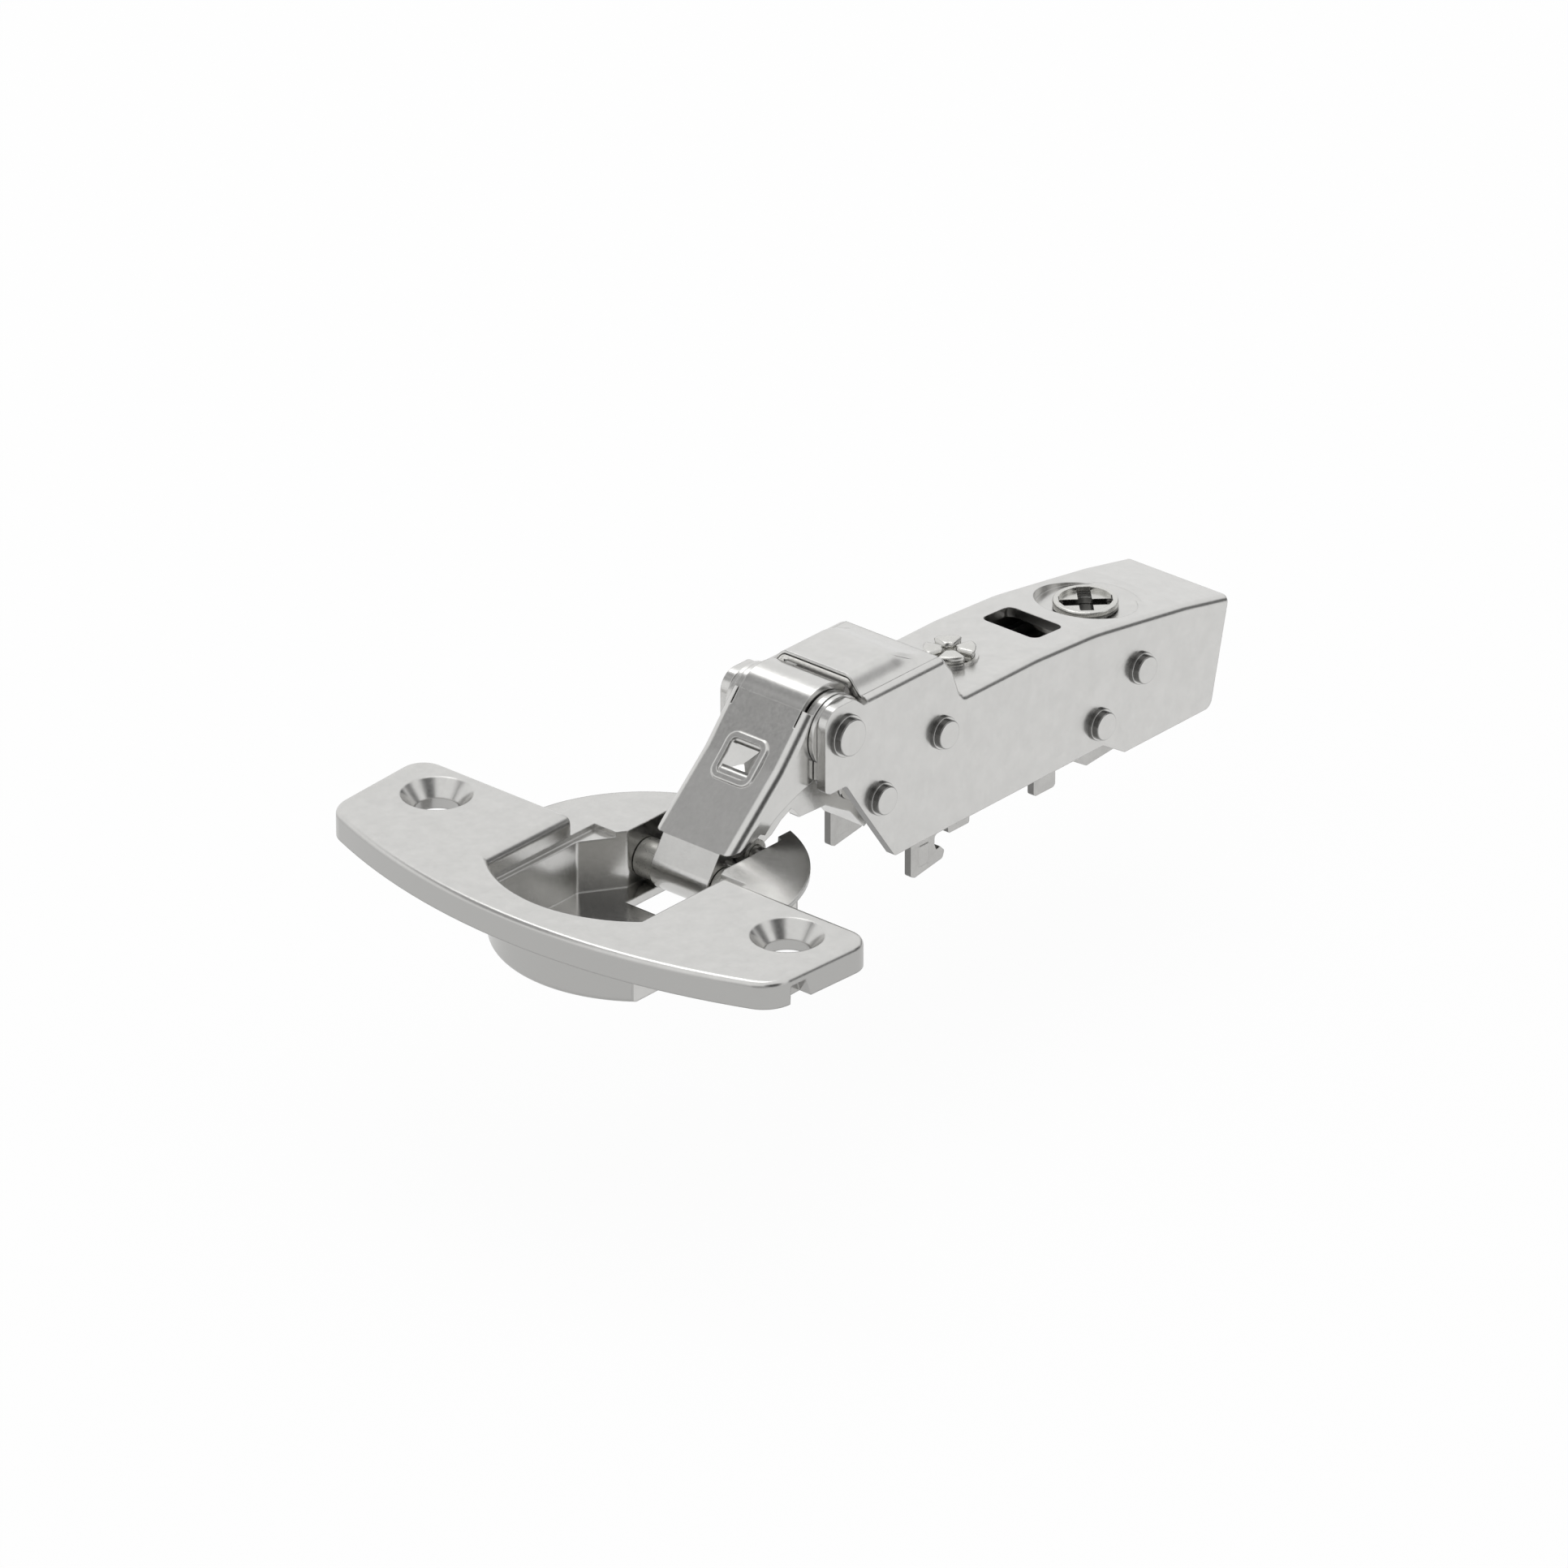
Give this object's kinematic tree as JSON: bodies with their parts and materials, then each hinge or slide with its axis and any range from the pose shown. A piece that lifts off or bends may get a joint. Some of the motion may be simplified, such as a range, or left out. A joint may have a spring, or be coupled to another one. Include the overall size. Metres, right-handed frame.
{
  "type": "concealed cabinet hinge",
  "caption": "Concealed clip-on cabinet hinge: a bored-in cup with screw wings, a folding two-link linkage and an adjustable arm that clips to a mounting plate.",
  "frame": {"origin": "cup axis at the door surface, on the underside of the flange", "axes": "+X along the arm away from the cup, +Z out of the door, +Y across the arm; the linkage stands 90 degrees open"},
  "size_m": [0.1147, 0.0672, 0.0287],
  "materials": {
    "cast_nickel": "nickel-plated die casting, satin",
    "sheet_nickel": "nickel-plated sheet, fine satin",
    "link_nickel": "nickel-plated sheet, smooth",
    "rail_nickel": "nickel-plated sheet, dull",
    "rivet_nickel": "nickel-plated, smooth",
    "screw_nickel": "nickel-plated, satin",
    "spring_steel": "oiled spring wire",
    "guide_plastic": "natural, matte"
  },
  "bodies": {
    "cup": {"cup": "cast_nickel", "outer_link_cup_pin": "rivet_nickel", "inner_link_cup_pin": "rivet_nickel", "outer_spacer_far": "guide_plastic", "outer_spacer_near": "guide_plastic", "inner_spacer_far": "guide_plastic", "inner_spacer_near": "guide_plastic"},
    "outer_link": {"outer_link": "link_nickel", "knuckle_bush": "guide_plastic"},
    "inner_link": {"inner_link": "link_nickel"},
    "arm": {"arm_body": "sheet_nickel", "cheek_far": "sheet_nickel", "cheek_near": "sheet_nickel", "link_axle": "rivet_nickel", "inner_link_rivet_far": "rivet_nickel", "inner_link_rivet_near": "rivet_nickel", "spring_rivet": "rivet_nickel", "rear_upper_rivet_far": "rivet_nickel", "rear_upper_rivet_near": "rivet_nickel", "rear_lower_rivet": "rivet_nickel", "closing_spring": "spring_steel", "side_screw_nut": "rivet_nickel", "depth_screw_washer": "rivet_nickel"},
    "side_adjust_screw": {"side_adjust_screw": "screw_nickel"},
    "depth_adjust_screw": {"depth_adjust_screw": "screw_nickel"},
    "depth_slide": {"depth_slide_block": "rail_nickel", "tilt_pin": "rivet_nickel"},
    "base_rail": {"base_rail": "rail_nickel", "latch_pin": "rivet_nickel", "latch_spring": "spring_steel"},
    "clip_latch": {"clip_latch": "rail_nickel"}
  },
  "joints": [
    {"name": "outer_link_swing", "type": "hinge", "parent": "cup", "child": "outer_link", "pos_m": [0.0084, 0, -0.0037], "axis": [0, -1, 0], "range_deg": [-15.8, 118.4]},
    {"name": "arm_swing", "type": "hinge", "parent": "outer_link", "child": "arm", "pos_m": [0.0252, 0, 0.01], "axis": [0, -1, 0], "range_deg": [-28.5, 3.9]},
    {"name": "inner_link_swing", "type": "hinge", "parent": "cup", "child": "inner_link", "pos_m": [0.0135, 0, -0.0015], "axis": [0, -1, 0], "range_deg": [-18.8, 139.8]},
    {"name": "depth_slide_move", "type": "slide", "parent": "arm", "child": "depth_slide", "axis": [1, 0, 0], "range_m": [-0.002, 0.002]},
    {"name": "depth_screw_turn", "type": "hinge", "parent": "arm", "child": "depth_adjust_screw", "pos_m": [0.0759, 0, 0.0058], "axis": [0, 0, 1], "range_deg": [-258, 258]},
    {"name": "rail_tilt", "type": "hinge", "parent": "depth_slide", "child": "base_rail", "pos_m": [0.0795, 0, -0.0065], "axis": [0, -1, 0], "range_deg": [-2.5, 2.5]},
    {"name": "side_screw_turn", "type": "hinge", "parent": "arm", "child": "side_adjust_screw", "pos_m": [0.052, 0, 0.0082], "axis": [0, 0, 1], "range_deg": [-226, 226]},
    {"name": "latch_release", "type": "hinge", "parent": "base_rail", "child": "clip_latch", "pos_m": [0.0858, 0, -0.0046], "axis": [0, -1, 0], "range_deg": [0, 10], "stiffness_Nm_per_rad": 0.05, "springref_deg": -11.46}
  ],
  "couplings": [
    {"joint": "arm_swing", "follows": "outer_link_swing", "ratio": -0.24},
    {"joint": "inner_link_swing", "follows": "outer_link_swing", "ratio": 1.18},
    {"joint": "depth_screw_turn", "follows": "depth_slide_move", "rad_per_m": -2244},
    {"joint": "side_screw_turn", "follows": "rail_tilt", "ratio": 90}
  ]
}
